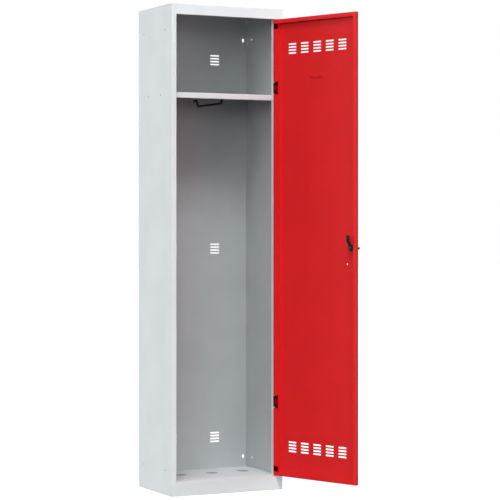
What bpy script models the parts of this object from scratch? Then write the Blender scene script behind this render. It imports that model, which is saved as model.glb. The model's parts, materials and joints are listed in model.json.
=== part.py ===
"""One-column steel clothes locker: folded cabinet, hat shelf, hanging rail and one hinged door.

Lengths are metres, +Z is up and the front faces -Y. The origin is on the floor, under the middle
of the plinth's front flange. The door stands open; its pieces hang on an empty on the hinge axis,
and the turning pieces of the lock hang on a second empty on the lock axis.
"""
import math

import bmesh
import bpy
from mathutils import Matrix, Vector

MM = 0.001

# Cabinet envelope, door excluded
HEIGHT = 1800 * MM
WIDTH = 455 * MM
DEPTH = 305 * MM

# Sheet metal
SHEET = 0.8 * MM
BEND_RADIUS = 1.6 * MM
BEND_SEGMENTS = 3
SEAM = 0.3 * MM
FLANGE = 14 * MM
RELIEF_WIDTH = 1.5 * MM
RELIEF_MARGIN = 0.8 * MM

# Front frame
STILE_FACE = 20 * MM
STILE_RETURN = 16 * MM
STILE_LIP = 12 * MM
TOP_RAIL = 38 * MM
TOP_RAIL_RETURN = 12 * MM
PLINTH = 52.5 * MM
PLINTH_RETURN = 18 * MM
HINGE_STRIP_THICKNESS = 1.5 * MM
HINGE_STRIP_REACH = 17.5 * MM

# Hat shelf
SHELF_DROP = 321 * MM
SHELF_SETBACK = 22 * MM
SHELF_BACK_GAP = 6 * MM
SHELF_LIP = 20.5 * MM
SHELF_HEM = 10 * MM
SHELF_REAR_LIP = 20.5 * MM
SHELF_LUG_WIDTH = 3 * MM
SHELF_LUG_HEIGHT = 2 * MM
SHELF_LUG_SLOT = 7 * MM
SHELF_LUG_DROP = 8 * MM
SHELF_LUG_SETBACK = 101 * MM
SHELF_LUG_BACK_INSET = 91 * MM

# Hanging rail
RAIL_RADIUS = 3.5 * MM
RAIL_DROP = 34.2 * MM
RAIL_FOOT_DROP = 12 * MM
RAIL_FRONT_SETBACK = 52 * MM
RAIL_REAR_INSET = 35 * MM
RAIL_BEND = 13 * MM
RAIL_BEND_STEPS = 5
RAIL_SEGMENTS = 12
RAIL_TIP = 0.8 * MM
RAIL_FOOT_TIP = 3 * MM
RAIL_CLEARANCE = 0.4 * MM
RETAINER_RADIUS = 8 * MM
RETAINER_WALL = 0.8 * MM

# Ventilation slots, in groups of four
SLOT_LENGTH = 39 * MM
SLOT_HEIGHT = 5.6 * MM
SLOT_PITCH = 11.2 * MM
SLOTS_PER_GROUP = 4
SLOT_END_STEPS = 4
DOOR_VENT_GROUPS = 5
DOOR_VENT_PITCH = 61.6 * MM
DOOR_VENT_INSET = 112.5 * MM
BACK_VENT_OFFSET = 90 * MM
BACK_VENT_INSET = 172 * MM

# Fixing holes and floor holes
HOLE_SEGMENTS = 20
WALL_SLOT_LENGTH = 15 * MM
WALL_SLOT_WIDTH = 8 * MM
WALL_SLOT_EDGE = 15.5 * MM
WALL_SLOT_INSET = 91 * MM
SIDE_HOLE_RADIUS = 3.5 * MM
SIDE_HOLE_SETBACK = 60 * MM
SIDE_HOLE_BACK_INSET = 48 * MM
SIDE_HOLE_INSET = 91 * MM
FLOOR_HOLE_RADIUS = 24 * MM
FLOOR_HOLE_PITCH = 130.5 * MM
FLOOR_HOLE_SHIFT = 20.5 * MM
FLOOR_HOLE_BACK_INSET = 123 * MM
FLOOR_HOLE_COUNT = 3

# Door
DOOR_GAP_SIDE = 2.5 * MM
DOOR_GAP_END = 1.5 * MM
DOOR_DEPTH = 12 * MM
DOOR_EDGE_RADIUS = 2 * MM
DOOR_LIP = 15.5 * MM
DOOR_HINGE_LIP = 27 * MM
DOOR_CORNER_NOTCH = 20 * MM
DOOR_OPEN = math.radians(109.6)

# Hinges
HINGE_LOWER_INSET = 276 * MM
HINGE_UPPER_INSET = 256.5 * MM
HINGE_INSET = 4.5 * MM
HINGE_LEAF = 1.5 * MM
HINGE_LEAF_HEIGHT = 40 * MM
HINGE_DOOR_LEAF_LENGTH = 20 * MM
HINGE_DOOR_KNUCKLE = 15 * MM
HINGE_KNUCKLE_RADIUS = 3.4 * MM
HINGE_PIN_RADIUS = 2 * MM
HINGE_PIN_HEAD = 1 * MM
HINGE_PIN_CLEARANCE = 0.15 * MM
HINGE_NECK_CLEARANCE = 2 * MM
HINGE_STILE_CLEARANCE = 1 * MM
HINGE_CUTOUT_MARGIN = 4 * MM
HINGE_CUTOUT_FLOOR = 2.6 * MM
KNUCKLE_STEPS = 20

# Lock
LOCK_EDGE = 28 * MM
LOCK_CLEARANCE = 0.2 * MM
BEZEL_RADIUS = 20 * MM
BEZEL_THICKNESS = 4 * MM
BEZEL_CHAMFER = 1 * MM
BARREL_RADIUS = 9.5 * MM
STAPLE_THICKNESS = 4 * MM
STAPLE_WIDTH = 16 * MM
STAPLE_OFFSET = 13 * MM
SPINDLE_RADIUS = 5 * MM
COLLAR_RADIUS = 12 * MM
COLLAR_THICKNESS = 5 * MM
BLADE_WIDTH = 22 * MM
BLADE_THICKNESS = 8 * MM
BLADE_REACH = 34 * MM
EYE_RADIUS = 4 * MM
EYE_REACH = 24 * MM
DRIVE_SQUARE = 7 * MM
NUT_ACROSS_FLATS = 24 * MM
NUT_THICKNESS = 5 * MM
CAM_THICKNESS = 2.5 * MM
CAM_HUB_RADIUS = 9 * MM
CAM_TIP_WIDTH = 15 * MM
CAM_LENGTH = 48.5 * MM
CAM_CRANK_START = 12 * MM
CAM_CRANK_END = 28 * MM
CAM_CRANK = 10.5 * MM
CAM_CLEARANCE = 1 * MM
CAM_BEND = 1.3 * MM
WASHER_RADIUS = 6.5 * MM
WASHER_THICKNESS = 1 * MM
SCREW_RADIUS = 1.5 * MM
SCREW_HEAD_RADIUS = 4 * MM
SCREW_HEAD_HEIGHT = 2.5 * MM
SCREW_LENGTH = 10 * MM
SCREW_SLOT = 1 * MM
TURN_SEGMENTS = 32
SPARE_HOLE_RADIUS = 3 * MM
SPARE_HOLE_EDGE = 52 * MM
SPARE_HOLE_DROP = 57 * MM

# Planes and edges worked out from the sizes above
FRONT = -PLINTH_RETURN / 2
REAR = FRONT + DEPTH
HALF = WIDTH / 2
SHELL_TOP = HEIGHT - SHEET - SEAM
RELIEF_DEPTH = BEND_RADIUS + RELIEF_MARGIN
INNER_HALF = HALF - SHEET - SEAM
STILE_EDGE = HALF - STILE_FACE
STRIP_FACE = FRONT + STILE_RETURN + SEAM
STRIP_REAR = STRIP_FACE + HINGE_STRIP_THICKNESS
SHELF_HEIGHT = HEIGHT - SHELF_DROP
SHELF_LUG_PLACES = (FRONT + SHELF_LUG_SETBACK, REAR - SHELF_LUG_BACK_INSET)
LUG_BASE = SHELF_HEIGHT - SHELF_LUG_DROP - SHELF_LUG_SLOT / 2 + SEAM
SIDE_HOLE_PLACES = (FRONT + SIDE_HOLE_SETBACK, REAR - SIDE_HOLE_BACK_INSET)
SIDE_HOLE_HEIGHTS = (SIDE_HOLE_INSET, HEIGHT - SIDE_HOLE_INSET)
WALL_SLOT_HEIGHTS = (WALL_SLOT_INSET, HEIGHT - WALL_SLOT_INSET)
BACK_VENT_HEIGHTS = (BACK_VENT_INSET, HEIGHT / 2, HEIGHT - BACK_VENT_INSET)

DOOR_LEFT = -STILE_EDGE + DOOR_GAP_SIDE
DOOR_RIGHT = STILE_EDGE - DOOR_GAP_SIDE
DOOR_BOTTOM = PLINTH + DOOR_GAP_END
DOOR_TOP = HEIGHT - TOP_RAIL - DOOR_GAP_END
DOOR_VENT_MIDDLE = (DOOR_LEFT + DOOR_LIP + DOOR_RIGHT - DOOR_HINGE_LIP) / 2
DOOR_BACK = FRONT + DOOR_DEPTH
LOCK_HEIGHT = (DOOR_BOTTOM + DOOR_TOP) / 2
SPARE_HOLE_HEIGHT = LOCK_HEIGHT - SPARE_HOLE_DROP
HINGE_HEIGHTS = {"lower": DOOR_BOTTOM + HINGE_LOWER_INSET, "upper": DOOR_TOP - HINGE_UPPER_INSET}

HINGE_SETBACK = SHEET + SEAM + HINGE_KNUCKLE_RADIUS
HINGE_AXIS = Vector((DOOR_RIGHT - HINGE_INSET, FRONT + HINGE_SETBACK, 0))
LOCK_POINT = Vector((DOOR_LEFT + LOCK_EDGE, FRONT, LOCK_HEIGHT))

# Finishes: linear base colour, roughness, metallic
GREY_COAT = ((0.70, 0.73, 0.75), 0.45, 0.0)
RED_COAT = ((0.60, 0.016, 0.020), 0.40, 0.0)
BLACK_STEEL = ((0.018, 0.018, 0.020), 0.45, 0.6)
BLACK_ENAMEL = ((0.012, 0.012, 0.013), 0.35, 0.0)
ZINC = ((0.16, 0.16, 0.155), 0.40, 1.0)


def clear_scene():
    """Removes every object that is already in the file."""
    for obj in list(bpy.data.objects):
        bpy.data.objects.remove(obj, do_unlink=True)


def finish_material(name, finish):
    """Makes one Principled material from a finish."""
    colour, roughness, metallic = finish
    material = bpy.data.materials.new(name)
    material.use_nodes = True
    shader = material.node_tree.nodes["Principled BSDF"]
    shader.inputs["Base Color"].default_value = (*colour, 1)
    shader.inputs["Roughness"].default_value = roughness
    shader.inputs["Metallic"].default_value = metallic
    material.diffuse_color = (*colour, 1)
    return material


class Carrier:
    """A rigid group of pieces. Shapes are drawn with the door closed, then hung on the group's axis."""

    def __init__(self, name, pivot=Vector(), parent=None, turn=0.0):
        self.pivot = Vector(pivot)
        self.empty = bpy.data.objects.new(name, None)
        self.empty.location = self.pivot - (parent.pivot if parent else Vector())
        self.empty.rotation_euler = (0, 0, turn)
        self.empty.parent = parent.empty if parent else None
        bpy.context.scene.collection.objects.link(self.empty)

    def hang(self, name, data):
        """Links an object for mesh or curve data drawn in cabinet coordinates."""
        data.transform(Matrix.Translation(-self.pivot))
        obj = bpy.data.objects.new(name, data)
        obj.parent = self.empty
        bpy.context.scene.collection.objects.link(obj)
        return obj

    def piece(self, name, bm, finish, smooth_angle=35):
        """Adds a named piece with its own material."""
        mesh = bpy.data.meshes.new(name)
        bm.to_mesh(mesh)
        bm.free()
        mesh.shade_smooth()
        mesh.set_sharp_from_angle(angle=math.radians(smooth_angle))
        mesh.materials.append(finish_material(name, finish))
        return self.hang(name, mesh)

    def cutter(self, name, bm):
        """Adds a hidden shape for a Boolean."""
        mesh = bpy.data.meshes.new(name)
        bm.to_mesh(mesh)
        bm.free()
        obj = self.hang(name, mesh)
        obj.hide_render = True
        obj.display_type = "WIRE"
        return obj

    def combine(self, target, bm, operation="DIFFERENCE"):
        """Cuts a shape out of a piece, or joins it on."""
        modifier = target.modifiers.new(operation.lower(), "BOOLEAN")
        modifier.operation = operation
        modifier.solver = "EXACT"
        name = f"{target.name}_{operation.lower()}_{len(target.modifiers)}"
        modifier.object = self.cutter(name, bm)


def folded_sheet(outlines, outward, bend_radius=BEND_RADIUS):
    """Joins flat faces along their shared edges and rounds each fold.

    The first face's normal is turned to the outward side, which is the sheet's outer skin.
    """
    bm = bmesh.new()
    for points in outlines:
        bm.faces.new([bm.verts.new(point) for point in points])
    bmesh.ops.remove_doubles(bm, verts=bm.verts, dist=0.00001)
    bmesh.ops.recalc_face_normals(bm, faces=bm.faces)
    bm.faces.ensure_lookup_table()
    if bm.faces[0].normal.dot(Vector(outward)) < 0:
        bmesh.ops.reverse_faces(bm, faces=bm.faces[:])
    folds = [edge for edge in bm.edges if len(edge.link_faces) == 2 and edge.calc_face_angle() > 0.1]
    bmesh.ops.bevel(
        bm,
        geom=folds,
        offset=bend_radius,
        offset_type="OFFSET",
        segments=BEND_SEGMENTS,
        profile=0.5,
        affect="EDGES",
        clamp_overlap=False,
        material=-1,
    )
    return bm


def thicken(obj, thickness):
    """Gives a folded surface its sheet thickness, on the inner side of its skin."""
    solidify = obj.modifiers.new("sheet", "SOLIDIFY")
    solidify.thickness = thickness
    solidify.offset = -1
    solidify.use_even_offset = True
    solidify.use_quality_normals = True


def edge_points(start, end, tab=None):
    """Points along one edge of a blank, end left out, with a bend relief beside each end of a tab.

    The blank lies to the left of the edge. The tab is a pair of distances from start.
    """
    start = Vector(start)
    along = Vector(end) - start
    length = along.length
    along.normalize()
    inward = Vector((-along.y, along.x)) * RELIEF_DEPTH
    points = [start]
    if tab:
        first, last = tab
        if first > RELIEF_WIDTH:
            outer = start + along * (first - RELIEF_WIDTH)
            corner = start + along * first
            points += [outer, outer + inward, corner + inward, corner]
        if last < length - RELIEF_WIDTH:
            corner = start + along * last
            outer = start + along * (last + RELIEF_WIDTH)
            points += [corner, corner + inward, outer + inward, outer]
    return points


def flanges(start, end, *folds):
    """Faces of a flange chain that leaves the edge from start to end by each fold vector in turn."""
    faces = []
    near = [Vector(start), Vector(end)]
    for fold in folds:
        far = [point + Vector(fold) for point in near]
        faces.append([near[0], near[1], far[1], far[0]])
        near = far
    return faces


def prism(bm, outline, sweep):
    """Adds the solid that a flat outline sweeps along a vector."""
    face = bm.faces.new([bm.verts.new(point) for point in outline])
    made = bmesh.ops.extrude_face_region(bm, geom=[face])
    moved = [item for item in made["geom"] if isinstance(item, bmesh.types.BMVert)]
    bmesh.ops.translate(bm, verts=moved, vec=Vector(sweep))
    bmesh.ops.recalc_face_normals(bm, faces=bm.faces)
    return bm


def box(low, high):
    """A block between two corners."""
    low, high = Vector(low), Vector(high)
    outline = [low, (high.x, low.y, low.z), (high.x, high.y, low.z), (low.x, high.y, low.z)]
    return prism(bmesh.new(), outline, (0, 0, high.z - low.z))


def round_edges(bm, radius, segments):
    """Rounds every edge of a block."""
    bmesh.ops.bevel(
        bm,
        geom=bm.edges[:],
        offset=radius,
        offset_type="OFFSET",
        segments=segments,
        profile=0.5,
        affect="EDGES",
        material=-1,
    )
    return bm


def arc(centre, radius, start_degrees, end_degrees, steps):
    """Points on an arc in a plane, both ends included."""
    points = []
    for step in range(steps + 1):
        angle = math.radians(start_degrees + (end_degrees - start_degrees) * step / steps)
        points.append((centre[0] + radius * math.cos(angle), centre[1] + radius * math.sin(angle)))
    return points


def slot_outline(centre, length, height, steps=SLOT_END_STEPS):
    """Outline of a round-ended slot, long way along the first axis."""
    reach = (length - height) / 2
    right = arc((centre[0] + reach, centre[1]), height / 2, -90, 90, steps)
    left = arc((centre[0] - reach, centre[1]), height / 2, 90, 270, steps)
    return right + left


def revolve(profile, closed=False, segments=TURN_SEGMENTS):
    """Turns a profile of (radius, height) points about the Z axis."""
    bm = bmesh.new()
    verts = [bm.verts.new((radius, 0, height)) for radius, height in profile]
    pairs = list(zip(verts, verts[1:]))
    if closed:
        pairs.append((verts[-1], verts[0]))
    edges = [bm.edges.new(pair) for pair in pairs]
    bmesh.ops.spin(
        bm,
        geom=verts + edges,
        cent=(0, 0, 0),
        axis=(0, 0, 1),
        angle=math.tau,
        steps=segments,
        use_merge=True,
    )
    bmesh.ops.remove_doubles(bm, verts=bm.verts, dist=0.000001)
    bmesh.ops.recalc_face_normals(bm, faces=bm.faces)
    return bm


def rod(start, end, radius, segments=HOLE_SEGMENTS):
    """A round bar between two points."""
    start, end = Vector(start), Vector(end)
    bm = revolve([(0, 0), (radius, 0), (radius, (end - start).length), (0, (end - start).length)],
                 segments=segments)
    turn = (end - start).to_track_quat("Z", "Y").to_matrix().to_4x4()
    bmesh.ops.transform(bm, matrix=Matrix.Translation(start) @ turn, verts=bm.verts)
    return bm


def merged(shapes):
    """Gathers separate shapes that don't touch into one mesh."""
    joined = bmesh.new()
    for shape in shapes:
        mesh = bpy.data.meshes.new("gathered")
        shape.to_mesh(mesh)
        shape.free()
        joined.from_mesh(mesh)
        bpy.data.meshes.remove(mesh)
    return joined


def slot_group(x, z, y_low, y_high):
    """One group of ventilation slots, stacked about a height, as cutters along Y."""
    shapes = []
    for row in range(SLOTS_PER_GROUP):
        height = z + (row - (SLOTS_PER_GROUP - 1) / 2) * SLOT_PITCH
        outline = [(px, y_low, pz) for px, pz in slot_outline((x, height), SLOT_LENGTH, SLOT_HEIGHT)]
        shapes.append(prism(bmesh.new(), outline, (0, y_high - y_low, 0)))
    return shapes


def side_panel(cabinet, name, side):
    """Side wall with its front stile channel and its top and bottom flanges; side is -1 or 1."""
    wall = side * HALF
    tab = (STILE_RETURN + RELIEF_DEPTH, DEPTH - FLANGE - RELIEF_DEPTH)
    outline = edge_points((FRONT, 0), (REAR, 0), tab)
    outline += edge_points((REAR, 0), (REAR, SHELL_TOP))
    back_tab = (DEPTH - tab[1], DEPTH - tab[0])
    outline += edge_points((REAR, SHELL_TOP), (FRONT, SHELL_TOP), back_tab)
    outline += edge_points((FRONT, SHELL_TOP), (FRONT, 0))
    faces = [[(wall, y, z) for y, z in outline]]
    faces += flanges(
        (wall, FRONT, 0),
        (wall, FRONT, SHELL_TOP),
        (-side * STILE_FACE, 0, 0),
        (0, STILE_RETURN, 0),
        (side * STILE_LIP, 0, 0),
    )
    for level in (0, SHELL_TOP):
        start = (wall, FRONT + tab[0], level)
        end = (wall, FRONT + tab[1], level)
        faces += flanges(start, end, (-side * FLANGE, 0, 0))
    panel = cabinet.piece(name, folded_sheet(faces, (side, 0, 0)), GREY_COAT)
    thicken(panel, SHEET)

    inner = wall - side * FLANGE
    outer = wall + side * FLANGE
    holes = []
    for y in SIDE_HOLE_PLACES:
        for height in SIDE_HOLE_HEIGHTS:
            holes.append(rod((inner, y, height), (outer, y, height), SIDE_HOLE_RADIUS))
    half_slot = SHELF_LUG_SLOT / 2
    slot_base = LUG_BASE - SEAM
    for y in SHELF_LUG_PLACES:
        low = (min(inner, outer), y - half_slot, slot_base)
        high = (max(inner, outer), y + half_slot, slot_base + SHELF_LUG_SLOT)
        holes.append(box(low, high))
    cabinet.combine(panel, merged(holes))


def back_panel(cabinet):
    """Rear wall, flanged on all sides, with ventilation slots and slotted wall-fixing holes."""
    side_tab = (PLINTH + RELIEF_DEPTH + RELIEF_WIDTH, SHELL_TOP - FLANGE - RELIEF_DEPTH)
    falling_tab = (SHELL_TOP - side_tab[1], SHELL_TOP - side_tab[0])
    outline = edge_points((-INNER_HALF, 0), (INNER_HALF, 0))
    outline += edge_points((INNER_HALF, 0), (INNER_HALF, SHELL_TOP), side_tab)
    outline += edge_points((INNER_HALF, SHELL_TOP), (-INNER_HALF, SHELL_TOP))
    outline += edge_points((-INNER_HALF, SHELL_TOP), (-INNER_HALF, 0), falling_tab)
    faces = [[(x, REAR, z) for x, z in outline]]
    forward = (0, -FLANGE, 0)
    for level in (0, SHELL_TOP):
        faces += flanges((-INNER_HALF, REAR, level), (INNER_HALF, REAR, level), forward)
    for x in (-INNER_HALF, INNER_HALF):
        faces += flanges((x, REAR, side_tab[0]), (x, REAR, side_tab[1]), forward)
    panel = cabinet.piece("back_panel", folded_sheet(faces, (0, 1, 0)), GREY_COAT)
    thicken(panel, SHEET)

    cuts = []
    y_low, y_high = REAR - FLANGE / 2, REAR + FLANGE / 2
    for x in (-BACK_VENT_OFFSET, BACK_VENT_OFFSET):
        for height in BACK_VENT_HEIGHTS:
            cuts += slot_group(x, height, y_low, y_high)
    for x in (-HALF + WALL_SLOT_EDGE, HALF - WALL_SLOT_EDGE):
        for height in WALL_SLOT_HEIGHTS:
            points = slot_outline((height, x), WALL_SLOT_LENGTH, WALL_SLOT_WIDTH)
            outline = [(px, y_low, pz) for pz, px in points]
            cuts.append(prism(bmesh.new(), outline, (0, y_high - y_low, 0)))
    cabinet.combine(panel, merged(cuts))


def top_panel(cabinet):
    """Roof sheet whose front folds down between the stiles as the top rail."""
    notch = HALF - STILE_EDGE + SEAM
    shoulder = FRONT + RELIEF_DEPTH
    outline = [
        (-HALF, shoulder),
        (-HALF + notch, shoulder),
        (-HALF + notch, FRONT),
        (HALF - notch, FRONT),
        (HALF - notch, shoulder),
        (HALF, shoulder),
        (HALF, REAR),
        (-HALF, REAR),
    ]
    faces = [[(x, y, HEIGHT) for x, y in outline]]
    faces += flanges(
        (-HALF + notch, FRONT, HEIGHT),
        (HALF - notch, FRONT, HEIGHT),
        (0, 0, -TOP_RAIL),
        (0, TOP_RAIL_RETURN, 0),
    )
    panel = cabinet.piece("top_panel", folded_sheet(faces, (0, 0, 1)), GREY_COAT)
    thicken(panel, SHEET)


def floor_panel(cabinet):
    """Floor sheet whose front folds down between the stiles as the plinth."""
    rear = REAR - SHEET - SEAM
    edge = STILE_EDGE - SEAM
    channel = FRONT + STILE_RETURN + SEAM
    corner = RELIEF_DEPTH
    outline = [
        (-edge, FRONT),
        (edge, FRONT),
        (edge, channel),
        (INNER_HALF, channel),
        (INNER_HALF, rear - corner),
        (INNER_HALF - corner, rear - corner),
        (INNER_HALF - corner, rear),
        (-INNER_HALF + corner, rear),
        (-INNER_HALF + corner, rear - corner),
        (-INNER_HALF, rear - corner),
        (-INNER_HALF, channel),
        (-edge, channel),
    ]
    faces = [[(x, y, PLINTH) for x, y in outline]]
    down = (0, 0, -FLANGE)
    faces += flanges((-edge, FRONT, PLINTH), (edge, FRONT, PLINTH), (0, 0, -PLINTH), (0, PLINTH_RETURN, 0))
    for x in (-INNER_HALF, INNER_HALF):
        faces += flanges((x, channel, PLINTH), (x, rear - corner, PLINTH), down)
    faces += flanges((-INNER_HALF + corner, rear, PLINTH), (INNER_HALF - corner, rear, PLINTH), down)
    panel = cabinet.piece("floor_panel", folded_sheet(faces, (0, 0, 1)), GREY_COAT)
    thicken(panel, SHEET)

    holes = []
    for index in range(FLOOR_HOLE_COUNT):
        x = FLOOR_HOLE_SHIFT + (index - (FLOOR_HOLE_COUNT - 1) / 2) * FLOOR_HOLE_PITCH
        y = REAR - FLOOR_HOLE_BACK_INSET
        holes.append(rod((x, y, PLINTH - FLANGE), (x, y, PLINTH + FLANGE), FLOOR_HOLE_RADIUS, TURN_SEGMENTS))
    cabinet.combine(panel, merged(holes))


def hinge_strip(cabinet):
    """Flat bar behind the right stile that carries the hinges and stops the door."""
    low = (STILE_EDGE - HINGE_STRIP_REACH, STRIP_FACE, PLINTH + SEAM)
    high = (STILE_EDGE + STILE_LIP, STRIP_REAR, SHELL_TOP - SHEET - SEAM)
    cabinet.piece("hinge_strip", box(low, high), GREY_COAT)


def hat_shelf(cabinet):
    """Shelf tray with deep front and rear lips, side lugs and the holes that hold the hanging rail."""
    half = INNER_HALF - SHEET - SEAM
    front = FRONT + SHELF_SETBACK
    rear = REAR - SHEET - SHELF_BACK_GAP
    corner = RELIEF_DEPTH
    outline = []
    for x, y, first_x in (
        (-half, front, False),
        (half, front, True),
        (half, rear, False),
        (-half, rear, True),
    ):
        step_x = math.copysign(corner, -x)
        step_y = corner if y == front else -corner
        notch = [(x, y + step_y), (x + step_x, y + step_y), (x + step_x, y)]
        outline += notch[::-1] if first_x else notch
    level = SHELF_HEIGHT
    faces = [[(x, y, level) for x, y in outline]]
    down = (0, 0, -FLANGE)
    left, right = -half + corner, half - corner
    faces += flanges((left, front, level), (right, front, level), (0, 0, -SHELF_LIP), (0, SHELF_HEM, 0))
    faces += flanges((left, rear, level), (right, rear, level), (0, 0, -SHELF_REAR_LIP))
    for x in (-half, half):
        faces += flanges((x, front + corner, level), (x, rear - corner, level), down)
    shelf = cabinet.piece("hat_shelf", folded_sheet(faces, (0, 0, 1)), GREY_COAT)
    thicken(shelf, SHEET)

    # Each lug is bent out of the flange, which leaves a window above it.
    lugs, windows = [], []
    half_lug, half_window = SHELF_LUG_WIDTH / 2, SHELF_LUG_SLOT / 2
    window_base = LUG_BASE + SHELF_LUG_HEIGHT / 2
    window_top = LUG_BASE - SEAM + SHELF_LUG_SLOT
    for side in (-1, 1):
        reach = sorted((side * (half - SHEET / 2), side * (HALF - SEAM)))
        through = sorted((side * (half - FLANGE / 2), side * (half + FLANGE / 2)))
        for y in SHELF_LUG_PLACES:
            low = (reach[0], y - half_lug, LUG_BASE)
            high = (reach[1], y + half_lug, LUG_BASE + SHELF_LUG_HEIGHT)
            lugs.append(box(low, high))
            low = (through[0], y - half_window, window_base)
            high = (through[1], y + half_window, window_top)
            windows.append(box(low, high))
    cabinet.combine(shelf, merged(windows))
    cabinet.combine(shelf, merged(lugs), "UNION")

    hole = RAIL_RADIUS + RAIL_CLEARANCE
    y = FRONT + RAIL_FRONT_SETBACK
    foot = rail_foot_height()
    holes = [
        rod((0, y, level - FLANGE / 2), (0, y, level + FLANGE / 2), hole),
        rod((0, rear - SHELF_BACK_GAP / 2, foot), (0, rear + SHELF_BACK_GAP / 2, foot), hole),
    ]
    cabinet.combine(shelf, merged(holes))


def rail_foot_height():
    """Height of the rail's rear foot, which passes through the shelf's rear lip."""
    return SHELF_HEIGHT - RAIL_FOOT_DROP


def rail_route():
    """Centreline of the rail in the plane x = 0, with its bends as arcs."""
    low = SHELF_HEIGHT - RAIL_DROP
    foot = rail_foot_height()
    front = FRONT + RAIL_FRONT_SETBACK
    rear = REAR - RAIL_REAR_INSET
    radius = RAIL_BEND
    upper_radius = foot - low - radius
    route = [(front, SHELF_HEIGHT + RAIL_TIP)]
    route += arc((front + radius, low + radius), radius, 180, 270, RAIL_BEND_STEPS)
    route += arc((rear - radius, low + radius), radius, 270, 360, RAIL_BEND_STEPS)
    upper = arc((rear + upper_radius, foot - upper_radius), upper_radius, 180, 90, RAIL_BEND_STEPS)
    route += upper[1:]
    route.append((REAR - SHEET - SHELF_BACK_GAP + RAIL_FOOT_TIP, foot))
    return route


def bent_bar(route, radius, segments=RAIL_SEGMENTS):
    """A round bar that follows a route of (y, z) points in the plane x = 0."""
    bm = bmesh.new()
    points = [Vector(point) for point in route]
    steps = [(after - before).normalized() for before, after in zip(points, points[1:])]
    rings = []
    for index, point in enumerate(points):
        before = steps[max(index - 1, 0)]
        after = steps[min(index, len(steps) - 1)]
        along = (before + after).normalized()
        across = Vector((-along.y, along.x)) / along.dot(after)
        ring = []
        for side in range(segments):
            angle = math.tau * side / segments
            offset = point + across * radius * math.sin(angle)
            ring.append(bm.verts.new((radius * math.cos(angle), offset.x, offset.y)))
        rings.append(ring)
    for near, far in zip(rings, rings[1:]):
        for side in range(segments):
            after = (side + 1) % segments
            bm.faces.new((near[side], near[after], far[after], far[side]))
    bm.faces.new(rings[0])
    bm.faces.new(rings[-1])
    bmesh.ops.recalc_face_normals(bm, faces=bm.faces)
    return bm


def hanging_rail(cabinet):
    """Bent round bar under the shelf: its front end passes up through the shelf, its rear foot
    through the shelf's rear lip. A push-on retainer holds the front end."""
    cabinet.piece("hanging_rail", bent_bar(rail_route(), RAIL_RADIUS), BLACK_STEEL)

    bore = RAIL_RADIUS + SEAM
    crown = RAIL_TIP + SEAM
    neck = bore + RETAINER_WALL
    base = SEAM
    profile = [
        (0, crown),
        (bore, crown),
        (bore, base),
        (RETAINER_RADIUS, base),
        (RETAINER_RADIUS, base + RETAINER_WALL / 2),
        (neck, base + RETAINER_WALL),
        (neck, crown),
        (bore, crown + RETAINER_WALL),
        (0, crown + RETAINER_WALL),
    ]
    cap = revolve(profile, segments=HOLE_SEGMENTS)
    place = Vector((0, FRONT + RAIL_FRONT_SETBACK, SHELF_HEIGHT))
    bmesh.ops.translate(cap, verts=cap.verts, vec=place)
    cabinet.piece("rail_retainer", cap, BLACK_STEEL)


def knuckle_outline(leaf_start):
    """Outer arc of a hinge knuckle from a tangent leaf round to the leaf's inner face.

    leaf_start is the angle, in degrees, at which the leaf's outer face leaves the knuckle.
    """
    inner = math.degrees(math.acos((HINGE_KNUCKLE_RADIUS - HINGE_LEAF) / HINGE_KNUCKLE_RADIUS))
    return arc((0, 0), HINGE_KNUCKLE_RADIUS, leaf_start, leaf_start + 360 - inner, KNUCKLE_STEPS)


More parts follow.
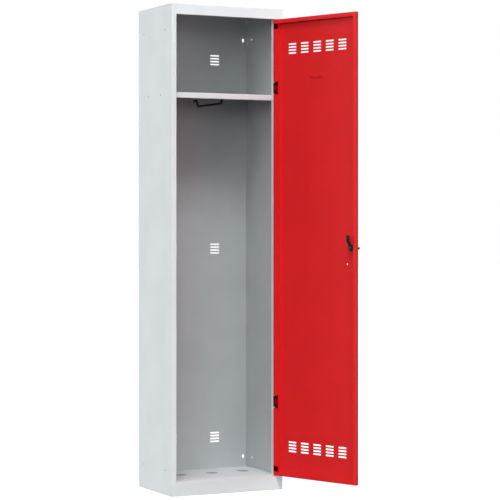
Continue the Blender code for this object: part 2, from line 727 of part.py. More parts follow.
def hinge(cabinet, door, name, height):
    """One hinge: a frame leaf with two knuckles, a door leaf with the middle knuckle, and the pin."""
    low = height - HINGE_LEAF_HEIGHT / 2
    high = height + HINGE_LEAF_HEIGHT / 2
    joint = HINGE_DOOR_KNUCKLE / 2
    centre = Vector((HINGE_AXIS.x, HINGE_AXIS.y, height))
    radius = HINGE_KNUCKLE_RADIUS
    bore = HINGE_PIN_RADIUS + HINGE_PIN_CLEARANCE
    far = HINGE_LEAF_HEIGHT
    sweep = (0, 0, high - low)

    def at(x, y, z):
        return (centre.x + x, centre.y + y, z)

    def bore_cut():
        return rod(at(0, 0, low - far), at(0, 0, high + far), bore, KNUCKLE_STEPS)

    plate_rear = STRIP_FACE - SEAM - centre.y
    plate_front = plate_rear - HINGE_LEAF
    plate_end = STILE_EDGE - HINGE_STILE_CLEARANCE - centre.x
    outline = knuckle_outline(180)
    outline += [
        (HINGE_LEAF - radius, plate_front),
        (plate_end, plate_front),
        (plate_end, plate_rear),
        (-radius, plate_rear),
    ]
    frame_leaf = cabinet.piece(
        f"{name}_hinge_frame_leaf",
        prism(bmesh.new(), [at(x, y, low) for x, y in outline], sweep),
        BLACK_STEEL,
    )
    cabinet.combine(frame_leaf, bore_cut())
    window_low = at(-far, -far, height - joint - SEAM)
    window_high = at(far, plate_front - HINGE_LEAF, height + joint + SEAM)
    cabinet.combine(frame_leaf, box(window_low, window_high))

    leaf_end = HINGE_DOOR_LEAF_LENGTH
    outline = knuckle_outline(270)
    outline += [(-leaf_end, HINGE_LEAF - radius), (-leaf_end, -radius)]
    door_leaf = door.piece(
        f"{name}_hinge_door_leaf",
        prism(bmesh.new(), [at(x, y, low) for x, y in outline], sweep),
        RED_COAT,
    )
    door.combine(door_leaf, bore_cut())
    neck = -radius - HINGE_NECK_CLEARANCE
    above = box(at(neck, -far, height + joint), at(far, far, high + far))
    below = box(at(neck, -far, low - far), at(far, far, height - joint))
    door.combine(door_leaf, merged([above, below]))

    head_base = high + SEAM
    profile = [
        (0, low),
        (HINGE_PIN_RADIUS, low),
        (HINGE_PIN_RADIUS, head_base),
        (radius, head_base),
        (radius, head_base + HINGE_PIN_HEAD),
        (0, head_base + HINGE_PIN_HEAD),
    ]
    pin = revolve(profile, segments=KNUCKLE_STEPS)
    bmesh.ops.translate(pin, verts=pin.verts, vec=(centre.x, centre.y, 0))
    cabinet.piece(f"{name}_hinge_pin", pin, BLACK_STEEL)


def door_pan(door):
    """Door skin with folded edges, inward lips and a boxed hinge side, cut for hinges, vents and lock."""
    low = Vector((DOOR_LEFT, FRONT, DOOR_BOTTOM))
    high = Vector((DOOR_RIGHT, DOOR_BACK, DOOR_TOP))
    wall = Vector((SHEET, SHEET, SHEET))
    pan = door.piece("door_pan", round_edges(box(low, high), DOOR_EDGE_RADIUS, BEND_SEGMENTS), RED_COAT)
    inner_radius = DOOR_EDGE_RADIUS - SHEET
    door.combine(pan, round_edges(box(low + wall, high - wall), inner_radius, BEND_SEGMENTS))
    past = DOOR_DEPTH
    behind = DOOR_BACK + past
    lip_front = DOOR_BACK - DOOR_DEPTH / 2
    window_right = DOOR_RIGHT - DOOR_HINGE_LIP
    window_bottom = DOOR_BOTTOM + DOOR_LIP
    window_top = DOOR_TOP - DOOR_LIP
    wall_left = window_right + SEAM
    wall_right = wall_left + SHEET
    root = SHEET / 2
    box_wall = box(
        (wall_left, FRONT + root, DOOR_BOTTOM + root),
        (wall_right, DOOR_BACK - root, DOOR_TOP - root),
    )
    door.combine(pan, box_wall, "UNION")
    door.combine(
        pan,
        box((DOOR_LEFT + DOOR_LIP, lip_front, window_bottom), (window_right, behind, window_top)),
    )

    notches = []
    inside = wall_right + SEAM
    hinge_edge = DOOR_RIGHT - DOOR_EDGE_RADIUS
    for start in (window_bottom, window_top - DOOR_CORNER_NOTCH):
        notches.append(box((inside, lip_front, start), (hinge_edge, behind, start + DOOR_CORNER_NOTCH)))
    reach = HINGE_LEAF_HEIGHT / 2 + HINGE_CUTOUT_MARGIN
    for height in HINGE_HEIGHTS.values():
        notch_low = (inside, FRONT + HINGE_CUTOUT_FLOOR, height - reach)
        notch_high = (DOOR_RIGHT + past, behind, height + reach)
        notches.append(box(notch_low, notch_high))
    door.combine(pan, merged(notches))

    y_low, y_high = FRONT - SHEET, FRONT + DOOR_DEPTH / 4
    holes = []
    for height in (DOOR_BOTTOM + DOOR_VENT_INSET, DOOR_TOP - DOOR_VENT_INSET):
        for index in range(DOOR_VENT_GROUPS):
            x = DOOR_VENT_MIDDLE + (index - (DOOR_VENT_GROUPS - 1) / 2) * DOOR_VENT_PITCH
            holes += slot_group(x, height, y_low, y_high)
    lock_hole = BARREL_RADIUS + SEAM
    x, z = LOCK_POINT.x, LOCK_POINT.z
    holes.append(rod((x, y_low, z), (x, y_high, z), lock_hole, TURN_SEGMENTS))
    x, z = DOOR_LEFT + SPARE_HOLE_EDGE, SPARE_HOLE_HEIGHT
    holes.append(rod((x, y_low, z), (x, y_high, z), SPARE_HOLE_RADIUS))
    door.combine(pan, merged(holes))


def lock_place(bm):
    """Turns a lock shape from its own axes (X to the hinge, Y up, Z outward) into the door."""
    matrix = Matrix.Translation(LOCK_POINT) @ Matrix.Rotation(math.radians(90), 4, "X")
    bmesh.ops.transform(bm, matrix=matrix, verts=bm.verts)
    return bm


def staple_outline(half_width, base, tip, steps=8):
    """Tongue with a half-round end, as (across, outward) points."""
    round_end = arc((0, tip - half_width), half_width, 0, 180, steps)
    return [(-half_width, base), (half_width, base)] + round_end


def lock(door, latch):
    """Turn-knob lock with a padlock eye outside and a cranked cam inside."""
    bezel_top = SEAM + BEZEL_THICKNESS
    cam_front = -(DOOR_DEPTH + CAM_CLEARANCE)
    cam_rear = cam_front - CAM_THICKNESS
    barrel_end = cam_front + 2 * SEAM
    bore = SPINDLE_RADIUS + LOCK_CLEARANCE
    profile = [
        (bore, barrel_end),
        (BARREL_RADIUS, barrel_end),
        (BARREL_RADIUS, SEAM),
        (BEZEL_RADIUS, SEAM),
        (BEZEL_RADIUS, bezel_top - BEZEL_CHAMFER),
        (BEZEL_RADIUS - BEZEL_CHAMFER, bezel_top),
        (bore, bezel_top),
    ]
    housing = door.piece("lock_housing", lock_place(revolve(profile, closed=True)), BLACK_ENAMEL)
    half = STAPLE_WIDTH / 2
    tongue = staple_outline(half, bezel_top - BEZEL_CHAMFER, EYE_REACH + half)
    staple = prism(bmesh.new(), [(STAPLE_OFFSET, y, z) for y, z in tongue], (STAPLE_THICKNESS, 0, 0))
    door.combine(housing, lock_place(staple), "UNION")
    eye = rod((0, 0, EYE_REACH), (BEZEL_RADIUS, 0, EYE_REACH), EYE_RADIUS)
    door.combine(housing, lock_place(eye))

    nut_top = -SHEET - SEAM
    corner = NUT_ACROSS_FLATS / math.sqrt(3)
    hexagon = [(x, y, nut_top) for x, y in arc((0, 0), corner, 0, 300, 5)]
    nut = prism(bmesh.new(), hexagon, (0, 0, -NUT_THICKNESS))
    nut_obj = door.piece("lock_nut", lock_place(nut), ZINC)
    thread = rod((0, 0, -DOOR_DEPTH), (0, 0, DOOR_DEPTH), BARREL_RADIUS + LOCK_CLEARANCE, TURN_SEGMENTS)
    door.combine(nut_obj, lock_place(thread))

    collar_base = bezel_top + SEAM
    collar_top = collar_base + COLLAR_THICKNESS
    shoulder = cam_front + SEAM
    profile = [
        (0, shoulder),
        (SPINDLE_RADIUS, shoulder),
        (SPINDLE_RADIUS, collar_base),
        (COLLAR_RADIUS, collar_base),
        (COLLAR_RADIUS, collar_top - BEZEL_CHAMFER),
        (COLLAR_RADIUS - BEZEL_CHAMFER, collar_top),
        (0, collar_top),
    ]
    knob = latch.piece("hasp_knob", lock_place(revolve(profile)), BLACK_ENAMEL)
    tongue = staple_outline(BLADE_WIDTH / 2, collar_top - BEZEL_CHAMFER, BLADE_REACH)
    thickness = BLADE_THICKNESS / 2
    blade = prism(bmesh.new(), [(x, -thickness, z) for x, z in tongue], (0, BLADE_THICKNESS, 0))
    latch.combine(knob, lock_place(blade), "UNION")
    square = DRIVE_SQUARE / 2
    drive_end = cam_rear + SEAM / 2
    drive = box((-square, -square, drive_end), (square, square, shoulder + SHEET))
    latch.combine(knob, lock_place(drive), "UNION")
    screw_end = cam_rear + SCREW_LENGTH
    eye = rod((0, -BLADE_WIDTH, EYE_REACH), (0, BLADE_WIDTH, EYE_REACH), EYE_RADIUS)
    screw_bore = rod((0, 0, cam_rear - FLANGE), (0, 0, screw_end + SEAM), SCREW_RADIUS + LOCK_CLEARANCE)
    latch.combine(knob, lock_place(merged([eye, screw_bore])))

    half_tip = CAM_TIP_WIDTH / 2
    hub = arc((0, 0), CAM_HUB_RADIUS, 180, 360, 12)
    start = [(half_tip, CAM_CRANK_START), (-half_tip, CAM_CRANK_START)]
    end = [(half_tip, CAM_CRANK_END), (-half_tip, CAM_CRANK_END)]
    tip = arc((0, CAM_LENGTH - half_tip), half_tip, 0, 180, 8)
    cam_tip = cam_front - CAM_CRANK
    faces = [
        [(x, y, cam_front) for x, y in hub + start],
        [(*start[1], cam_front), (*start[0], cam_front), (*end[0], cam_tip), (*end[1], cam_tip)],
        [(x, y, cam_tip) for x, y in [end[1], end[0]] + tip],
    ]
    cam_bm = folded_sheet(faces, (0, 0, 1), CAM_BEND)
    cam = latch.piece("lock_cam", lock_place(cam_bm), BLACK_STEEL)
    thicken(cam, CAM_THICKNESS)
    square = DRIVE_SQUARE / 2 + SEAM
    drive = box((-square, -square, cam_rear - CAM_THICKNESS), (square, square, cam_front + CAM_THICKNESS))
    latch.combine(cam, lock_place(drive))

    washer_front = cam_rear - SEAM
    washer_rear = washer_front - WASHER_THICKNESS
    hole = SCREW_RADIUS + SEAM
    profile = [
        (hole, washer_rear),
        (WASHER_RADIUS, washer_rear),
        (WASHER_RADIUS, washer_front),
        (hole, washer_front),
    ]
    latch.piece("cam_washer", lock_place(revolve(profile, closed=True)), ZINC)

    head_front = washer_rear - SEAM
    head_rear = head_front - SCREW_HEAD_HEIGHT
    profile = [
        (0, head_rear),
        (SCREW_HEAD_RADIUS * 0.8, head_rear),
        (SCREW_HEAD_RADIUS, head_rear + SCREW_HEAD_HEIGHT / 3),
        (SCREW_HEAD_RADIUS, head_front),
        (SCREW_RADIUS, head_front),
        (SCREW_RADIUS, screw_end),
        (0, screw_end),
    ]
    screw = latch.piece("cam_screw", lock_place(revolve(profile, segments=HOLE_SEGMENTS)), ZINC)
    half_slot = SCREW_SLOT / 2
    reach = SCREW_HEAD_RADIUS * 2
    driver = box((-reach, -half_slot, head_rear - SCREW_SLOT), (reach, half_slot, head_rear + SCREW_SLOT))
    latch.combine(screw, lock_place(driver))


def main():
    """Builds the locker with its door standing open."""
    clear_scene()
    cabinet = Carrier("cabinet")
    door = Carrier("door_hinge_axis", HINGE_AXIS, cabinet, DOOR_OPEN)
    latch = Carrier("lock_axis", LOCK_POINT, door)
    side_panel(cabinet, "left_side_panel", -1)
    side_panel(cabinet, "right_side_panel", 1)
    back_panel(cabinet)
    top_panel(cabinet)
    floor_panel(cabinet)
    hinge_strip(cabinet)
    hat_shelf(cabinet)
    hanging_rail(cabinet)
    door_pan(door)
    for name, height in HINGE_HEIGHTS.items():
        hinge(cabinet, door, name, height)
    lock(door, latch)


main()
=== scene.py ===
"""Dresses the steel clothes locker: powder-coated sheet, lock fittings, studio, light and camera."""
from __future__ import annotations

import json
import logging
import math
from dataclasses import dataclass, field
from enum import Enum
from typing import Any

import bmesh
import bpy
from mathutils import Euler, Matrix, Vector

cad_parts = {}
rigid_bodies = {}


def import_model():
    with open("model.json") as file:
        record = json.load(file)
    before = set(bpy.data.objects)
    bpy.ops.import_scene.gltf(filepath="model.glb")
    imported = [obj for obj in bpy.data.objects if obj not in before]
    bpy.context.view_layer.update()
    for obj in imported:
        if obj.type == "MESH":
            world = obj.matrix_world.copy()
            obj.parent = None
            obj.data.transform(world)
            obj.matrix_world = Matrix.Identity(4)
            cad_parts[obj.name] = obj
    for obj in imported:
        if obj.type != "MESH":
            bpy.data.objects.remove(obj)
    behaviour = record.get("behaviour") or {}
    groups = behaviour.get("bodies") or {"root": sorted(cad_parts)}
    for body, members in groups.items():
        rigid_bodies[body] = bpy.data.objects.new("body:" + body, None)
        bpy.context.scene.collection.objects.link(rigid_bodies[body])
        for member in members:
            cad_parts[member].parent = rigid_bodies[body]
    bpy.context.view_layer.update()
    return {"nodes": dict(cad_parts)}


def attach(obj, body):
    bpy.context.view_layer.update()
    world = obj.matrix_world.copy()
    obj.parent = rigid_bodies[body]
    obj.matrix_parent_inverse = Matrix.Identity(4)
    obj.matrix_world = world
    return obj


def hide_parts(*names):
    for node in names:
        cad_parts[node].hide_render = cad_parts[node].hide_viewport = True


LOG = logging.getLogger("locker")
IMAGE_SIDE_PX = 500
SENSOR_MM = 36.0
CLIP_END_M = 100
WELD_M = 1e-6
FLAT_DEGREES = 0.4
SMOOTH_DEGREES = 40.0
FLAT_WEIGHT = 100

# Numbers that the faces of a mesh carry and the coats read: edge wear, painted shade and painted light
WEAR = "wear"
# Painted shade: how far a face's colour is darkened to stand in for shade
PAINTED_SHADE = "painted_shade"
# Painted light: how far a face's colour is lightened to stand in for light
PAINTED_LIGHT = "painted_light"

Colour = tuple[float, float, float]
Span = tuple[float, float]
Profile = list[tuple[float, float]]


class Wire:
    """A node output; arithmetic on it adds Math nodes to its graph."""

    def __init__(self, graph: Graph, socket: bpy.types.NodeSocket) -> None:
        """Keeps the socket with the graph that it belongs to."""
        self.graph = graph
        self.socket = socket

    def _math(self, operation: str, first: Any, second: Any) -> Wire:
        """Adds one Math node on two values."""
        return self.graph.node("ShaderNodeMath", {"operation": operation}, {0: first, 1: second})

    def __add__(self, other: Wire | float) -> Wire:
        """Sum."""
        return self._math("ADD", self, other)

    def __radd__(self, other: float) -> Wire:
        """Sum with a number on the left."""
        return self._math("ADD", other, self)

    def __sub__(self, other: Wire | float) -> Wire:
        """Difference."""
        return self._math("SUBTRACT", self, other)

    def __rsub__(self, other: float) -> Wire:
        """Difference from a number on the left."""
        return self._math("SUBTRACT", other, self)

    def __mul__(self, other: Wire | float) -> Wire:
        """Product."""
        return self._math("MULTIPLY", self, other)

    def at_least(self, other: Wire | float) -> Wire:
        """The larger of two values."""
        return self._math("MAXIMUM", self, other)

    def size(self) -> Wire:
        """The value without its sign."""
        return self._math("ABSOLUTE", self, 0.0)

    def cosine(self) -> Wire:
        """The cosine of an angle in radians."""
        return self._math("COSINE", self, 0.0)

    def angle(self, other: Wire) -> Wire:
        """The angle in radians of the direction with this part across and the other along."""
        return self._math("ARCTAN2", self, other)

    def wrapped(self) -> Wire:
        """An angle brought to within half a turn of zero."""
        inputs = {0: self, 1: math.pi, 2: -math.pi}
        return self.graph.node("ShaderNodeMath", {"operation": "WRAP"}, inputs)

    def span(self, low: float, high: float) -> Wire:
        """Smooth step from 0 at low to 1 at high; low may be the larger."""
        inputs = {"Value": self, "From Min": low, "From Max": high}
        return self.graph.node("ShaderNodeMapRange", {"interpolation_type": "SMOOTHSTEP"}, inputs)


class Graph:
    """A node tree of a material or a world, with the shader that ends it."""

    def __init__(self, tree: bpy.types.NodeTree, shader: str, output: str) -> None:
        """Empties a tree and gives it one shader.

        Args:
            tree: the node tree.
            shader: type of the shader node.
            output: type of the output node.
        """
        self.tree = tree
        tree.nodes.clear()
        end = tree.nodes.new(output)
        self.shader = tree.nodes.new(shader)
        tree.links.new(self.shader.outputs[0], end.inputs["Surface"])

    @classmethod
    def of_material(cls, name: str) -> tuple[bpy.types.Material, Graph]:
        """A new material and its graph."""
        material = bpy.data.materials.new(name)
        material.use_nodes = True
        return material, cls(material.node_tree, "ShaderNodeBsdfPrincipled", "ShaderNodeOutputMaterial")

    def node(self, kind: str, settings: dict[str, Any], inputs: dict[Any, Any], output: Any = 0) -> Wire:
        """Adds a node.

        Args:
            kind: the node's type.
            settings: attributes to set first.
            inputs: values or wires by socket name or number.
            output: name or number of the output that is wanted.

        Returns:
            The wanted output.
        """
        made = self.tree.nodes.new(kind)
        for key, value in settings.items():
            setattr(made, key, value)
        for key, value in inputs.items():
            self.feed(made.inputs[key], value)
        return Wire(self, made.outputs[output])

    def feed(self, socket: bpy.types.NodeSocket, value: Any) -> None:
        """Links a wire to a socket, or sets the socket's value."""
        if isinstance(value, Wire):
            self.tree.links.new(value.socket, socket)
        elif isinstance(value, tuple) and len(value) == 3 and len(socket.default_value) == 4:
            socket.default_value = (*value, 1.0)
        else:
            socket.default_value = value

    def set(self, **values: Any) -> None:
        """Sets or links the shader's sockets; underscores stand for spaces in their names."""
        for name, value in values.items():
            self.feed(self.shader.inputs[name.replace("_", " ")], value)

    def place(self) -> Wire:
        """Object coordinates, in metres."""
        return self.node("ShaderNodeTexCoord", {}, {}, "Object")

    def axes(self, vector: Wire) -> tuple[Wire, Wire, Wire]:
        """The three parts of a vector."""
        first = self.node("ShaderNodeSeparateXYZ", {}, {0: vector})
        return tuple(Wire(self, socket) for socket in first.socket.node.outputs)

    def noise(self, size_m: float, detail: float) -> Wire:
        """Noise with features of about a given size.

        Args:
            size_m: feature size.
            detail: octaves.

        Returns:
            Values around 0.5.
        """
        inputs = {"Vector": self.place(), "Scale": 1.0 / size_m, "Detail": detail}
        return self.node("ShaderNodeTexNoise", {}, inputs, "Fac")

    def attribute(self, name: str) -> Wire:
        """A number that the mesh carries."""
        return self.node("ShaderNodeAttribute", {"attribute_name": name}, {}, "Fac")

    def mix(self, factor: Wire, first: Any, second: Any) -> Wire:
        """Mixes two colours by a factor."""
        inputs = {0: factor, 6: first, 7: second}
        return self.node("ShaderNodeMix", {"data_type": "RGBA"}, inputs, 2)

    def bump(self, height: Wire, depth_m: float) -> Wire:
        """Turns heights of 0 to 1 into a normal, with a given depth."""
        return self.node("ShaderNodeBump", {}, {"Height": height, "Distance": depth_m}, "Normal")


def shade(colour: Colour, factor: float) -> Colour:
    """A colour made lighter or darker by a factor."""
    return tuple(min(1.0, part * factor) for part in colour)


@dataclass(frozen=True)
class PowderCoat:
    """Oven-cured powder paint: satin gloss, a fine orange peel and a thinner coat on cut edges, with
    painted shade inside the cabinet and on marked faces, and painted light on other marked faces.
    """

    name: str
    slot: str
    colour: Colour
    roughness: float
    edge: Colour
    gloss: float = 0.3
    mottle: float = 0.025
    cloud_m: float = 0.14
    cloud_share: float = 0.75
    cloud_roughness: float = 0.09
    speck_m: float = 0.0007
    speck_roughness: float = 0.05
    tone_span: Span = (0.3, 0.7)
    smoothest: float = 0.07
    peel_m: float = 0.0012
    peel_depth_m: float = 0.00004
    wear_m: float = 0.02
    wear_span: Span = (0.38, 0.66)
    wear_roughness: float = 0.1
    # Painted shade inside the cabinet: the inside tone darkens the colour there, and the low tone
    # darkens it further low down
    inside_shade_tone: float = 1.0
    inside_from_m: Span = (0.004, 0.020)
    back_skin_m: Span = (0.2957, 0.2955)
    side_skin_m: Span = (0.2272, 0.2270)
    roof_skin_m: Span = (1.7990, 1.7988)
    low_shade_tone: float = 1.0
    low_from_m: Span = (0.95, 0.05)
    # Tones of the painted shade and of the painted light on marked faces
    painted_shade_tone: float = 0.16
    painted_light_tone: float = 1.22

    def mottled(self, graph: Graph, tone: Wire, level: float) -> Wire:
        """The paint's colour at a level, a little lighter and darker from place to place."""
        darker, lighter = (shade(self.colour, level + part) for part in (-self.mottle, self.mottle))
        return graph.mix(tone, darker, lighter)

    def inside_shade(self, graph: Graph, tone: Wire, outside: Wire) -> Wire:
        """Paints shade on the faces inside the cabinet: a darker colour there, darker still low down.

        Args:
            graph: the material's graph.
            tone: where the paint is lighter or darker.
            outside: the colour outside.

        Returns:
            The colour on all faces.
        """
        x, y, z = graph.axes(graph.place())
        behind = y.span(*self.inside_from_m) * y.span(*self.back_skin_m)
        inside = x.size().span(*self.side_skin_m) * behind * z.span(*self.roof_skin_m)
        # painted shade: the darker colour inside, and darker still low down
        shaded = self.mottled(graph, tone, self.inside_shade_tone)
        if self.low_shade_tone < 1.0:
            more_shaded = self.mottled(graph, tone, self.inside_shade_tone * self.low_shade_tone)
            shaded = graph.mix(z.span(*self.low_from_m), shaded, more_shaded)
        return graph.mix(inside, outside, shaded)

    def material(self) -> bpy.types.Material:
        """Makes the material."""
        material, graph = Graph.of_material(self.name)
        cloud = graph.noise(self.cloud_m, 3.0)
        speck = graph.noise(self.speck_m, 2.0)
        peel = graph.noise(self.peel_m, 1.5)
        tone = (cloud * self.cloud_share + speck * (1.0 - self.cloud_share)).span(*self.tone_span)
        colour = self.mottled(graph, tone, 1.0)
        # Painted shade inside the cabinet
        if self.inside_shade_tone < 1.0:
            colour = self.inside_shade(graph, tone, colour)
        # Painted shade and painted light on the faces that carry them
        for name, level in ((PAINTED_SHADE, self.painted_shade_tone), (PAINTED_LIGHT, self.painted_light_tone)):
            colour = graph.mix(graph.attribute(name), colour, shade(self.colour, level))
        worn = graph.attribute(WEAR) * graph.noise(self.wear_m, 4.0).span(*self.wear_span)
        roughness = self.roughness - self.smoothest + cloud * self.cloud_roughness
        roughness = roughness + speck * self.speck_roughness + worn * self.wear_roughness
        graph.set(Base_Color=graph.mix(worn, colour, self.edge), Roughness=roughness)
        graph.set(Normal=graph.bump(peel, self.peel_depth_m), Specular_IOR_Level=self.gloss)
        return material


@dataclass(frozen=True)
class BlackFitting:
    """Black enamel or blackened steel with a fine grain and rubbed edges."""

    name: str
    slot: str
    colour: Colour
    roughness: float
    rubbed: Colour = (0.04, 0.04, 0.038)
    gloss: float = 0.09
    grain_m: float = 0.0005
    grain_depth_m: float = 0.00002
    grain_roughness: float = 0.16
    cloud_m: float = 0.012
    cloud_span: Span = (0.35, 0.75)
    cloud_tone: float = 1.8
    wear_m: float = 0.004
    wear_span: Span = (0.4, 0.65)

    def material(self) -> bpy.types.Material:
        """Makes the material."""
        material, graph = Graph.of_material(self.name)
        grain = graph.noise(self.grain_m, 3.0)
        cloud = graph.noise(self.cloud_m, 3.0).span(*self.cloud_span)
        colour = graph.mix(cloud, self.colour, shade(self.colour, self.cloud_tone))
        worn = graph.attribute(WEAR) * graph.noise(self.wear_m, 3.0).span(*self.wear_span)
        roughness = self.roughness - self.grain_roughness / 2 + grain * self.grain_roughness
        graph.set(Base_Color=graph.mix(worn, colour, self.rubbed), Roughness=roughness)
        graph.set(Normal=graph.bump(grain, self.grain_depth_m), Specular_IOR_Level=self.gloss)
        return material


@dataclass(frozen=True)
class ZincPlate:
    """Dark zinc plating with a faint grain and a dull tarnish."""

    name: str
    slot: str
    colour: Colour
    roughness: float
    tarnish: Colour = (0.045, 0.043, 0.038)
    cloud_m: float = 0.004
    cloud_span: Span = (0.42, 0.75)
    grain_m: float = 0.0003
    grain_depth_m: float = 0.00001
    grain_roughness: float = 0.14

    def material(self) -> bpy.types.Material:
        """Makes the material."""
        material, graph = Graph.of_material(self.name)
        cloud = graph.noise(self.cloud_m, 4.0).span(*self.cloud_span)
        grain = graph.noise(self.grain_m, 2.0)
        roughness = self.roughness + grain * self.grain_roughness
        graph.set(Base_Color=graph.mix(cloud, self.colour, self.tarnish), Roughness=roughness)
        graph.set(Normal=graph.bump(grain, self.grain_depth_m), Metallic=1.0)
        return material


class Finish(Enum):
    """The locker's finishes."""

    # The inside and low tones paint shade inside the cabinet, darker still low down
    GREY = PowderCoat(
        "grey_coat", "grey_coat", (0.80, 0.850, 0.872), 0.45, (0.60, 0.63, 0.65),
        inside_shade_tone=0.66, low_shade_tone=0.90,
    )
    # The shelf: a slightly darker copy of the grey coat as painted shade, with more painted shade behind
    # its front lip
    GREY_SHELF_SHADED = PowderCoat(
        "grey_shelf_shaded_coat", "grey_coat", (0.78, 0.830, 0.852), 0.45, (0.58, 0.61, 0.63),
        inside_shade_tone=0.66, inside_from_m=(0.0145, 0.018),
    )
    # The floor: painted shade makes it darker from its front edge inwards
    GREY_FLOOR = PowderCoat(
        "grey_floor_coat", "grey_coat", (0.80, 0.850, 0.872), 0.45, (0.60, 0.63, 0.65),
        inside_shade_tone=0.80, inside_from_m=(-0.060, 0.120),
    )
    # The blanks in the floor's holes: a dark copy of the grey coat, painted shade that makes the holes
    # look dark
    GREY_BLANK_SHADED = PowderCoat(
        "grey_blank_shaded_coat", "grey_coat", (0.30, 0.315, 0.325), 0.50, (0.26, 0.27, 0.28)
    )
    RED = PowderCoat(
        "red_coat", "red_coat", (0.85, 0.020, 0.024), 0.40, (0.48, 0.012, 0.014), gloss=0.08
    )
    # The door's hinge leaves: a dark copy of the red coat, painted shade for the leaves seen in the
    # hinge windows
    RED_SHADED = PowderCoat(
        "red_shaded_coat", "red_coat", (0.40, 0.004, 0.008), 0.45, (0.25, 0.006, 0.007), gloss=0.1
    )
    # The frame's hinge leaves: dark red with little gloss, painted shade for red paint seen in the
    # shaded hinge pockets
    HINGE_SHADED_RED = BlackFitting(
        "hinge_shaded_red", "black_steel", (0.105, 0.003, 0.004), 0.55, (0.12, 0.006, 0.006), gloss=0.02
    )
    BLACK_STEEL = BlackFitting("black_steel", "black_steel", (0.014, 0.014, 0.012), 0.42)
    BLACK_ENAMEL = BlackFitting("black_enamel", "black_enamel", (0.010, 0.010, 0.010), 0.36)
    ZINC = ZincPlate("zinc_plate", "zinc_plate", (0.085, 0.085, 0.080), 0.36)

    def paint(self, made: dict[Finish, bpy.types.Material]) -> bpy.types.Material:
        """The finish's material, made once.

        Args:
            made: materials made so far.

        Returns:
            The material.
        """
        if self not in made:
            made[self] = self.value.material()
        return made[self]


class Body(Enum):
    """The bodies that pieces ride on."""

    CABINET = "cabinet"
    DOOR = "door"
    LATCH = "latch"


@dataclass
class Bench:
    """Holds the solids and the finishes, and makes shaped meshes into pieces."""

    nodes: dict[str, bpy.types.Object]
    made: dict[Finish, bpy.types.Material] = field(default_factory=dict)

    def add(self, name: str, bm: bmesh.types.BMesh, finish: Finish, body: Body,
            stands_for: str = "") -> None:
        """Makes a shaped mesh a piece of the locker.

        Args:
            name: the piece's name.
            bm: its mesh, freed here.
            finish: its finish.
            body: the body that it rides on.
            stands_for: the solid that it replaces, if any.
        """
        bmesh.ops.remove_doubles(bm, verts=bm.verts, dist=WELD_M)
        mesh = bpy.data.meshes.new(name)
        bm.to_mesh(mesh)
        bm.free()
        mesh.shade_smooth()
        mesh.set_sharp_from_angle(angle=math.radians(SMOOTH_DEGREES))
        mesh.materials.append(finish.paint(self.made))
        piece = bpy.data.objects.new(name, mesh)
        bpy.context.scene.collection.objects.link(piece)
        flats = piece.modifiers.new("flat_faces", "WEIGHTED_NORMAL")
        flats.weight = FLAT_WEIGHT
        flats.keep_sharp = True
        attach(piece, body.value)
        if stands_for:
            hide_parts(stands_for)
        coat = finish.value.name
        LOG.info("%s: %s on the %s, %d faces", name, coat, body.value, len(mesh.polygons))

    def copy(self, node: str) -> bmesh.types.BMesh:
        """A merged copy of a solid, with its flat faces whole again."""
        bm = bmesh.new()
        bm.from_mesh(self.nodes[node].data)
        bmesh.ops.remove_doubles(bm, verts=bm.verts, dist=WELD_M)
        flat = math.radians(FLAT_DEGREES)
        bmesh.ops.dissolve_limit(bm, angle_limit=flat, verts=bm.verts, edges=bm.edges)
        return bm


def ease_edges(bm: bmesh.types.BMesh, radius_m: float, segments: int = 2,
               sharp_degrees: float = 50.0) -> None:
    """Rounds a mesh's sharp edges and marks the rounded faces as worn.

    Args:
        bm: the mesh.
        radius_m: how far the rounding reaches.
        segments: steps of the rounding.
        sharp_degrees: edges above this angle are rounded.
    """
    limit = math.radians(sharp_degrees)
    sharp = [edge for edge in bm.edges if edge.calc_face_angle(0.0) > limit]
    wear = bm.faces.layers.float.new(WEAR)
    made = bmesh.ops.bevel(
        bm, geom=sharp, offset=radius_m, offset_type="OFFSET", affect="EDGES", segments=segments,
        profile=0.5, material=-1, clamp_overlap=True,
    )
    for face in made["faces"]:
        face[wear] = 1.0


def turned(profile: Profile, steps: int = 32) -> bmesh.types.BMesh:
    """Spins a profile of (radius, height) points about the Z axis.

    Args:
        profile: an open profile that starts and ends on the axis.
        steps: steps of the full turn.

    Returns:
        A closed mesh.
    """
    bm = bmesh.new()
    verts = [bm.verts.new((radius, 0.0, height)) for radius, height in profile]
    edges = [bm.edges.new(pair) for pair in zip(verts, verts[1:])]
    bmesh.ops.spin(
        bm, geom=verts + edges, cent=(0, 0, 0), axis=(0, 0, 1), angle=math.tau, steps=steps,
        use_merge=True,
    )
    bmesh.ops.remove_doubles(bm, verts=bm.verts, dist=WELD_M)
    bmesh.ops.recalc_face_normals(bm, faces=bm.faces)
    return bm


